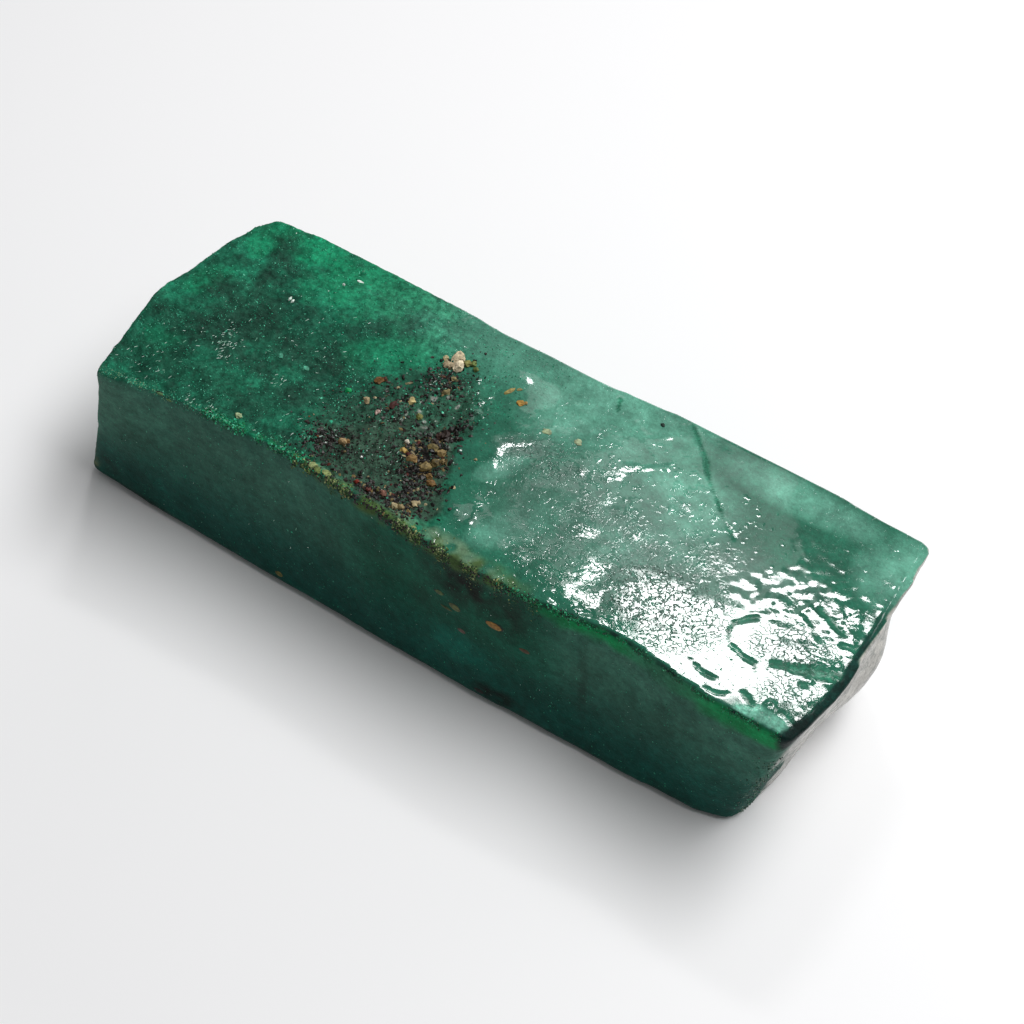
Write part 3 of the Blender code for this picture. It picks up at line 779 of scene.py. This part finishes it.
# Single grains that can be told apart: (x, y, length, width, height as radii, turn in degrees, colour).
SINGLE_GRAINS = (
    (28.7, 20.5, 0.66, 0.84, 0.42, 20, "#b5a688"), (28.3, 19.5, 0.52, 0.48, 0.36, 70, "#9a8b6f"),
    (29.3, 19.8, 0.5, 0.6, 0.45, 0, "#c8bb9f"), (29.9, 20.6, 0.45, 0.35, 0.3, 30, "#75743f"),
    (30.4, 20.9, 0.35, 0.3, 0.25, 80, "#5c6a36"), (31, 20.5, 0.3, 0.26, 0.2, 0, "#4f5c2f"),
    (27.6, 20, 0.3, 0.25, 0.2, 10, "#a89d78"), (24, 13.7, 0.5, 0.36, 0.34, 40, "#694a26"),
    (24.4, 14.1, 0.3, 0.3, 0.3, 0, "#4a2a1a"), (24.5, 11, 0.4, 0.34, 0.34, 0, "#8f8060"),
    (26.5, 10.2, 0.26, 0.26, 0.3, 0, "#b59c92"), (27.3, 11.7, 0.46, 0.3, 0.34, 60, "#3a1a15"),
    (28.1, 13.4, 0.46, 0.4, 0.38, 20, "#a39465"), (30, 12.2, 0.36, 0.32, 0.3, 0, "#71743d"),
    (22.3, 10.9, 0.32, 0.26, 0.22, 0, "#14a05c"), (26.6, 15.2, 0.4, 0.1, 0.12, 50, "#8c8262"),
    (30.4, 16.2, 0.4, 0.34, 0.3, 0, "#746a48"), (29.9, 18.2, 0.32, 0.28, 0.26, 0, "#7e7450"),
    (33.7, 11.6, 0.8, 0.42, 0.4, 110, "#241610"), (33.2, 11.2, 0.45, 0.34, 0.4, 0, "#33201a"),
    (31.4, 7.9, 0.42, 0.36, 0.38, 20, "#9c8246"), (31.1, 8.6, 0.24, 0.22, 0.28, 0, "#cfc6b4"),
    (32.1, 7.6, 0.32, 0.28, 0.32, 0, "#42150f"), (32.8, 7.3, 0.52, 0.46, 0.42, 10, "#8b7148"),
    (34.4, 7.2, 0.58, 0.5, 0.42, 30, "#75653f"), (33.6, 9.5, 0.52, 0.46, 0.4, 0, "#665b36"),
    (34.6, 9.5, 0.46, 0.4, 0.4, 60, "#7f6c45"), (34.9, 8.1, 0.46, 0.42, 0.4, 0, "#594d2d"),
    (35.4, 8.8, 0.34, 0.3, 0.3, 0, "#6f5f3c"), (36, 6, 0.48, 0.36, 0.38, 20, "#6f5430"),
    (35.3, 6.6, 0.32, 0.28, 0.3, 0, "#7a6038"), (30, 2.1, 0.32, 0.26, 0.28, 30, "#6a2418"),
    (31.5, 1.9, 0.28, 0.24, 0.26, 0, "#552820"), (25.9, 5.2, 0.42, 0.36, 0.36, 0, "#927b57"),
    (26.2, 5.5, 0.24, 0.22, 0.32, 0, "#6f5430"), (24.7, 4.1, 0.11, 0.1, 0.16, 0, "#dfe4df"),
    (28.6, 4.7, 0.11, 0.1, 0.16, 0, "#dfe4df"), (34.8, 1.6, 0.38, 0.32, 0.34, 0, "#a39670"),
    (35.4, 1.9, 0.34, 0.3, 0.34, 0, "#958560"), (36.2, 3, 0.36, 0.32, 0.34, 0, "#a89a76"),
    (33, 2.3, 0.4, 0.3, 0.3, 0, "#6d4a3d"), (27, 1.15, 0.5, 0.26, 0.1, 0, "#7d8a54"),
    (25.4, 1.1, 0.6, 0.28, 0.1, 10, "#95a06c"), (26.1, 1, 0.4, 0.26, 0.12, 0, "#6f8048"),
    (35.4, 20, 0.62, 0.22, 0.1, 65, "#8c7d48"), (37.2, 19.3, 0.42, 0.36, 0.12, 20, "#96722f"),
    (37.6, 19.6, 0.2, 0.18, 0.1, 0, "#9a7a42"), (36.1, 20.7, 0.3, 0.16, 0.08, 50, "#80784a"),
    (41.4, 17.7, 0.46, 0.34, 0.07, 0, "#8c9a76"), (44.7, 18.3, 0.42, 0.34, 0.07, 0, "#8f9c7a"),
    (15.5, 2.1, 0.4, 0.3, 0.24, 0, "#8fa079"), (14.1, 23.7, 0.36, 0.11, 0.14, 25, "#e6eee8"),
    (13.1, 22.3, 0.14, 0.12, 0.16, 0, "#e6efe9"), (9.9, 17.5, 0.14, 0.32, 0.16, 10, "#c3d6ca"),
    (10.3, 17.4, 0.12, 0.26, 0.16, 10, "#d2dfd6"), (50.2, 24.9, 0.24, 0.2, 0.1, 0, "#0d2018"),
    (13.9, 10.8, 0.3, 0.26, 0.1, 0, "#3f8a70"), (17, 10.9, 0.34, 0.28, 0.1, 0, "#3f8a70"),
)

# Clusters of nearly white splinters on the dry half, painted glints of its crystal faces: (x, y, spread, count).
GLINT_SPLINTERS = (
    (7.8, 9.7, 0.9, 34), (5, 5.5, 2.4, 30), (16.5, 14, 3, 26), (20.5, 3.2, 2, 24), (9, 7.7, 0.7, 16),
    (15.8, 8.1, 0.5, 12), (12.1, 0.9, 0.5, 14), (9.9, 1.2, 0.4, 8), (28, 10.6, 0.7, 10), (28.6, 16.9, 0.8, 14),
    (29.3, 18.4, 0.6, 8), (2.5, 2.6, 1.6, 14), (31.4, 5.6, 1.6, 12),
)

# Grain beds of the pocket: (x, y, spread along, spread across, smallest, largest, {kind: count}).
GRAIN_BEDS = (
    (29.2, 17.4, 1.2, 1.5, 0.08, 0.26, {"mica": 260, "feldspar": 34, "garnet": 3, "frost": 6}),
    (27, 12.6, 1.5, 2.4, 0.08, 0.26, {"mica": 170, "feldspar": 20, "garnet": 2}),
    (33.4, 8.2, 1.3, 1.7, 0.1, 0.34, {"mica": 480, "feldspar": 95, "garnet": 7, "frost": 4}),
    (33.8, 12.2, 0.7, 1.6, 0.1, 0.3, {"mica": 150, "feldspar": 10, "garnet": 3}),
    (35.4, 4.4, 1.1, 1.5, 0.09, 0.28, {"mica": 300, "feldspar": 34, "garnet": 4}),
    (33, 2, 2.2, 0.6, 0.09, 0.28, {"mica": 300, "feldspar": 56, "garnet": 5}),
    (24.6, 4.4, 1.4, 1.3, 0.08, 0.22, {"mica": 520, "feldspar": 8, "garnet": 3, "frost": 8}),
    (29.8, 6.4, 3, 3, 0.05, 0.13, {"mica": 1000, "frost": 30, "sugar": 60}),
    (31, 14.5, 2.5, 3.6, 0.05, 0.12, {"mica": 420, "sugar": 80, "frost": 10}),
    (23, 10, 1.6, 2.8, 0.05, 0.14, {"mica": 200, "feldspar": 5, "sugar": 60}),
)

# Beds along the top front edge: (from x, to x, distance onto the top, spread, smallest, largest, {kind: count}).
EDGE_BEDS = (
    (-0.5, 12.5, 0, 0.34, 0.03, 0.07, {"pale_edge": 420, "sugar": 260}),
    (12, 27, 0.35, 0.38, 0.05, 0.13, {"ridge": 900, "sugar": 200, "frost": 6}),
    (23, 38, -0.05, 0.42, 0.05, 0.17, {"moss": 1800, "mica": 260, "feldspar": 40}),
    (34, 49.5, -0.2, 0.42, 0.05, 0.15, {"moss": 1700, "mica": 400}),
    (38, 53, -1, 0.8, 0.04, 0.1, {"moss": 420, "mica": 300}),
    (48, 57, -0.2, 0.3, 0.05, 0.11, {"mica": 140, "ridge": 360}),
    (56, 79, -0.3, 0.25, 0.04, 0.09, {"ridge": 620, "mica": 160}),
)

# Flat mineral lenses in the front face: (x, z, length, height as radii, turn in degrees, colour).
LENS_RIM = "#15241a"         # each lies in a wider dark one, which shows as its rim
LENS_THICKNESS = 0.14
LENSES = (
    (47.8, 13.6, 0.92, 0.48, -4, "#8a652e"), (43.2, 13.1, 0.72, 0.5, 0, "#535c33"),
    (41.4, 14, 0.55, 0.34, 10, "#4a5a34"), (42.2, 12.2, 0.75, 0.22, 0, "#3c4a28"),
    (44, 10, 0.5, 0.34, 0, "#54443a"), (51.3, 12.1, 0.62, 0.3, 0, "#4c3a26"),
    (20.7, 1.8, 0.5, 0.36, 0, "#6a6434"), (45.9, 1.6, 0.55, 0.42, 0, "#1c1612"),
    (7, 20, 0.4, 0.18, 0, "#54744c"), (8, 19.7, 0.4, 0.16, 0, "#54744c"),
)


def shape_of_grain(subdivisions, seed, uneven=1):
    """An angular pebble of about unit radius."""
    mesh = bmesh.new()
    bmesh.ops.create_icosphere(mesh, subdivisions=subdivisions, radius=1)
    shift = Vector((3.1 * seed, -1.7 * seed, 0.9 * seed))
    for vertex in mesh.verts:
        lumps = 0.6 * noise.noise(1.3 * vertex.co + shift) + 0.35 * noise.noise(3.1 * vertex.co - shift)
        vertex.co *= 1 + uneven * (lumps + 0.2 * noise.noise(7 * vertex.co + shift))
    return kept_mesh("grain_shape", mesh)


def shape_of_crystal():
    """A small block with cleaved faces."""
    mesh = bmesh.new()
    bmesh.ops.create_cube(mesh, size=1.6)
    return kept_mesh("crystal_shape", mesh)


def touch(surface, start, direction):
    """Where a straight line into the stone meets it, and the way out of the stone there; start in millimetres."""
    return surface.ray_cast(CORNER + Vector(start) * MM, Vector(direction).normalized())[:2]


def touch_top(surface, x, y):
    return touch(surface, (x, y, HEIGHT + 5), (0, 0, -1))


def touch_front(surface, x, z):
    return touch(surface, (x, -10, z), (0, 1, 0))


def placed(point, turn, spin, radii):
    """The matrix of a grain of these radii, in millimetres, spun about its own axis and then turned."""
    scale = Matrix.Diagonal((*[radius * MM for radius in radii], 1))
    return Matrix.Translation(point) @ turn.to_4x4() @ Matrix.Rotation(spin, 4, "Z") @ scale


def seat(point, normal, spin, radii):
    """The matrix of a grain set in the surface, its length along the stone before the spin."""
    along = (Vector((1, 0, 0)) - normal * normal.x).normalized()
    return placed(point, Matrix((along, normal.cross(along), normal)).transposed(), spin, radii)


def tumbled(point, radii, chance):
    """The matrix of a grain lying any way up."""
    turn = Vector([chance.gauss(0, 1) for _ in range(3)]).to_track_quat("Z", "Y").to_matrix()
    return placed(point, turn, chance.uniform(0, math.tau), radii)


def grain_piece(name, grains, finish):
    """One piece of many grains, each given as (shape, matrix, colour)."""
    mesh = bmesh.new()
    tint = mesh.verts.layers.float_color.new("tint")
    for shape, matrix, code in grains:
        start = len(mesh.verts)
        mesh.from_mesh(shape, face_normals=False, vertex_normals=False)
        mesh.verts.ensure_lookup_table()
        colour = linear(code)
        for vertex in mesh.verts[start:]:
            vertex.co = matrix @ vertex.co
            vertex.co.z = min(vertex.co.z, CAD_BOX[1].z)
            vertex[tint] = colour
    mesh.normal_update()
    piece = new_piece(name, mesh, smooth=False)
    piece.data.materials.append(grain_material(finish))
    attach(piece, "root")


# Finishes of the grains: (roughness, specular level, unevenness of colour).
GRAIN_FINISHES = {
    "weathered_schist": (0.75, 0.3, 0.5),    # crumbly and dusty, with no shine of its own
    "black_mica": (0.42, 0.35, 0.2),         # dark flakes that glint
    "cleaved_beryl": (0.35, 0.35, 0.2),      # flat glassy faces that flash here and there
    "iron_feldspar": (0.6, 0.3, 0.55),       # matt tan lumps, blotched with rust
}
MOTTLE_SIZE = 0.3            # blotches on a grain, millimetres
MOTTLE_DEPTH = 0.05


def grain_material(name):
    """Loose mineral grains, each of its own colour."""
    roughness, specular, spread = GRAIN_FINISHES[name]
    material, tree, surface, place = start_material(name)
    tint = add(tree, "Attribute", {}, "Color", attribute_name="tint")
    mottle = add(tree, "TexNoise", {"Vector": place, "Scale": 1 / (MOTTLE_SIZE * MM), "Detail": 3})
    light = add(tree, "MapRange", {0: mottle, 1: 0.3, 2: 0.7, 3: 1 - spread, 4: 1 + spread})
    colour = add(tree, "VectorMath", {0: tint, "Scale": light}, operation="SCALE")
    bump = add(tree, "Bump", {"Height": mottle, "Strength": 0.5, "Distance": MOTTLE_DEPTH * MM})
    tree.links.new(colour, surface["Base Color"])
    tree.links.new(bump, surface["Normal"])
    surface["Roughness"].default_value = roughness
    surface["Specular IOR Level"].default_value = specular
    return material


DULL_KINDS = ("feldspar", "garnet", "moss")
CLEAVED_KINDS = ("sugar", "frost", "ridge")
LARGEST_FROST = 0.06
SUNK, CRYSTAL_SUNK = 0.35, 0.45          # how far a grain's middle lies below the surface, as a share of its size
PATCH_LENGTH = 1.7                       # the crust along the edge comes and goes in patches this long
MOSS_PATCHES = (7, 0.02)               # (row of the noise, least value that bears grains)
OTHER_PATCHES = (3, -0.22)

# Small crystals: how many are on the top, the front face and the right end, and (smallest, largest) radius.
TOP_CRYSTALS, TOP_SIZES = 6500, (0.03, 0.085)
FRONT_CRYSTALS, FRONT_SIZES = 2600, (0.03, 0.06)
END_CRYSTALS, END_SIZES = 420, (0.04, 0.12)
TOP_FROST, FRONT_FROST = 0.012, 0.03     # the share of them that is nearly white
SPLINTER_LENGTHS, SPLINTER_WIDTH = (0.08, 0.26), 0.022


def bed_grains(surface, chance, shapes):
    """Every loose grain of the pocket and of the top front edge, sorted into dull and bright ones."""
    dull, bright = [], []

    def settle(kind, point, normal, smallest, largest):
        size = mix(smallest, largest, chance.random() ** 2)
        size = min(size, LARGEST_FROST) if kind == "frost" else size
        radii = [size * chance.uniform(0.75, 1.3) for _ in range(3)]
        shape = chance.choice(shapes["crystals" if kind in CLEAVED_KINDS else "fine"])
        grain = (shape, tumbled(point - normal * SUNK * size * MM, radii, chance), chance.choice(TINTS[kind]))
        (dull if kind in DULL_KINDS else bright).append(grain)

    for x, y, along, across, smallest, largest, kinds in GRAIN_BEDS:
        for kind, count in kinds.items():
            for _ in range(count):
                point, normal = touch_top(surface, chance.gauss(x, along), chance.gauss(y, across))
                if point is not None and normal.z > 0.5:
                    settle(kind, point, normal, smallest, largest)
    for start, end, out, spread, smallest, largest, kinds in EDGE_BEDS:
        for kind, count in kinds.items():
            for _ in range(count):
                x = chance.uniform(start, end)
                row, least = MOSS_PATCHES if kind == "moss" else OTHER_PATCHES
                patch = noise.noise(Vector((x / PATCH_LENGTH, row, 0)))
                if patch < least:
                    continue
                over = chance.gauss(out, spread * (1 + 0.8 * patch))
                front = interpolate(x, FRONT_TOP)
                point, normal = touch(surface, (x, front - 10, HEIGHT + 10 + over), (0, 1, -1))
                if point is not None:
                    settle(kind, point, normal, smallest, largest)
    return dull, bright


def sugar_grains(surface, chance, shapes):
    """Cleaved crystal corners that stand out of the broken top and of the front face."""
    grains = []

    def settle(point, normal, size, code):
        radii = (size * chance.uniform(0.4, 0.8), size * chance.uniform(0.4, 0.8), size * chance.uniform(0.9, 3))
        matrix = tumbled(point - normal * CRYSTAL_SUNK * size * MM, radii, chance)
        grains.append((chance.choice(shapes["crystals"]), matrix, code))

    while len(grains) < TOP_CRYSTALS:
        x, y = chance.uniform(-1.5, 42), chance.uniform(0, 26.4)
        patch = noise.noise(Vector((x / 2, y / 2, 4))) + 0.5 * noise.noise(Vector((x / 0.7, y / 0.7, 9)))
        if patch < chance.uniform(-0.5, 0.6) or x > 34 + 0.3 * chance.random() * y:
            continue
        if x > 23 and y < 17 and chance.random() < 0.75:
            continue
        point, normal = touch_top(surface, x, y)
        if point is not None:
            size = mix(*TOP_SIZES, chance.random() ** 2)
            settle(point, normal, size, chance.choice(TINTS["frost" if chance.random() < TOP_FROST else "sugar"]))
    # Painted glints: nearly white splinters where the dry half sparkles.
    for x, y, spread, count in GLINT_SPLINTERS:
        for _ in range(count):
            point, normal = touch_top(surface, chance.gauss(x, spread), chance.gauss(y, spread))
            if point is not None:
                radii = (chance.uniform(*SPLINTER_LENGTHS), SPLINTER_WIDTH, SPLINTER_WIDTH)
                matrix = seat(point, normal, math.radians(chance.gauss(60, 25)), radii)
                grains.append((shapes["crystals"][0], matrix, chance.choice(TINTS["frost"])))
    for _ in range(FRONT_CRYSTALS):
        point, normal = touch_front(surface, chance.uniform(-4, 77), chance.uniform(1, 19.5))
        if point is not None:
            kind = "frost" if chance.random() < FRONT_FROST else "sugar"
            settle(point, normal, mix(*FRONT_SIZES, chance.random() ** 2), chance.choice(TINTS[kind]))
    for _ in range(END_CRYSTALS):
        z = chance.uniform(0.8, 15)
        point, normal = touch(surface, (91 + chance.gauss(0, 0.9), -10, z), (-1, 0.8, 0))
        if point is not None:
            settle(point, normal, mix(*END_SIZES, chance.random() ** 2), chance.choice(TINTS["corner"]))
    return grains


def single_grains(surface, chance, shapes):
    """The grains that stand out from the rest, and the flat lenses of the front face."""
    grains = []
    for x, y, length, width, height, turn, code in SINGLE_GRAINS:
        point, normal = touch_top(surface, x, y)
        matrix = seat(point + normal * 0.25 * height * MM, normal, math.radians(turn), (length, width, height))
        grains.append((chance.choice(shapes["coarse"]), matrix, code))
    for x, z, length, height, turn, code in LENSES:
        point, normal = touch_front(surface, x, z)
        for size, sunk, tint in ((1.3, 0.1, LENS_RIM), (1, 0.05, code)):
            radii = (size * length, size * height, LENS_THICKNESS)
            matrix = seat(point - normal * sunk * MM, normal, math.radians(turn), radii)
            grains.append((shapes["lens"][0], matrix, tint))
    return grains


def grains(surface):
    """All the grains on the stone."""
    chance = random.Random(7)
    shapes = {
        "coarse": [shape_of_grain(2, seed) for seed in range(1, 5)],
        "fine": [shape_of_grain(1, seed) for seed in range(5, 11)],
        "lens": [shape_of_grain(3, 11, 0.25)],
        "crystals": [shape_of_crystal()],
    }
    dull, bright = bed_grains(surface, chance, shapes)
    grain_piece("schist_grains", dull, "weathered_schist")
    grain_piece("mica_grains", bright, "black_mica")
    grain_piece("beryl_crumbs", sugar_grains(surface, chance, shapes), "cleaved_beryl")
    grain_piece("coarse_grains", single_grains(surface, chance, shapes), "iron_feldspar")
    for group in shapes.values():
        for data in group:
            bpy.data.meshes.remove(data)


def table():
    """A plain pale table top."""
    mesh = bmesh.new()
    bmesh.ops.create_grid(mesh, x_segments=1, y_segments=1, size=1.5)
    piece = new_piece("table_top", mesh, smooth=False)
    material, _, surface, _ = start_material("white_card")
    surface["Base Color"].default_value = linear("#f2f2f3")
    surface["Roughness"].default_value = 0.8
    piece.data.materials.append(material)


# The camera, in the stone's millimetres and in degrees.
CAMERA_PLACE = (138.76, -127.98, 217.03)
CAMERA_AZIMUTH = 34.87       # round from the front
CAMERA_ELEVATION = 50
SENSOR = 36
LENS = 94.92

# Where the two lamps that the coat mirrors are seen in the top face, and what the others face.
GLARE = (71.6, 6.4, HEIGHT)
HAZE = (57, 13, HEIGHT)
MIDDLE = (40, 13, 10)
SKY_STRENGTH = 0.19


def camera():
    data = bpy.data.cameras.new("camera")
    data.lens = LENS
    data.sensor_width = SENSOR
    item = bpy.data.objects.new("camera", data)
    bpy.context.scene.collection.objects.link(item)
    azimuth, elevation = math.radians(CAMERA_AZIMUTH), math.radians(CAMERA_ELEVATION)
    level = math.cos(elevation)
    back = Vector((math.sin(azimuth) * level, -math.cos(azimuth) * level, math.sin(elevation)))
    item.location = CORNER + Vector(CAMERA_PLACE) * MM
    item.rotation_euler = back.to_track_quat("Z", "Y").to_euler()
    bpy.context.scene.camera = item


def softbox(name, place, aim, size, radiance, roll=0):
    """A rectangular lamp at a place in the stone's millimetres, facing aim and rolled by degrees about that line."""
    data = bpy.data.lights.new(name, "AREA")
    data.shape = "RECTANGLE"
    data.size = size[0] * MM
    data.size_y = size[1] * MM
    data.energy = radiance * math.pi * data.size * data.size_y
    item = bpy.data.objects.new(name, data)
    bpy.context.scene.collection.objects.link(item)
    item.location = CORNER + Vector(place) * MM
    level = (Vector(place) - Vector(aim)).to_track_quat("Z", "Y")
    item.rotation_euler = (level @ Quaternion((0, 0, 1), math.radians(roll))).to_euler()
    return item


def mirrored(point, distance):
    """The place from which a lamp is seen mirrored in the top face at a point."""
    ray = Vector(point) - Vector(CAMERA_PLACE)
    ray.z = -ray.z
    return Vector(point) + ray.normalized() * distance


def lights():
    world = bpy.data.worlds.new("studio")
    bpy.context.scene.world = world
    world.use_nodes = True
    sky = world.node_tree.nodes["Background"]
    sky.inputs["Color"].default_value = (1, 1, 1, 1)
    sky.inputs["Strength"].default_value = SKY_STRENGTH
    softbox("window", mirrored(GLARE, 450), GLARE, (70, 28), 30, -7)
    curtain = softbox("curtain", mirrored(HAZE, 480), HAZE, (75, 55), 1.4)
    curtain.visible_diffuse = False
    softbox("lamp", (210.9, 127, 440.5), MIDDLE, (435, 148), 10.9)
    softbox("wall", (40, 649, 145), MIDDLE, (1100, 260), 1.96)


grains(stone_body())
table()
camera()
lights()
bpy.context.scene.view_settings.view_transform = "Standard"
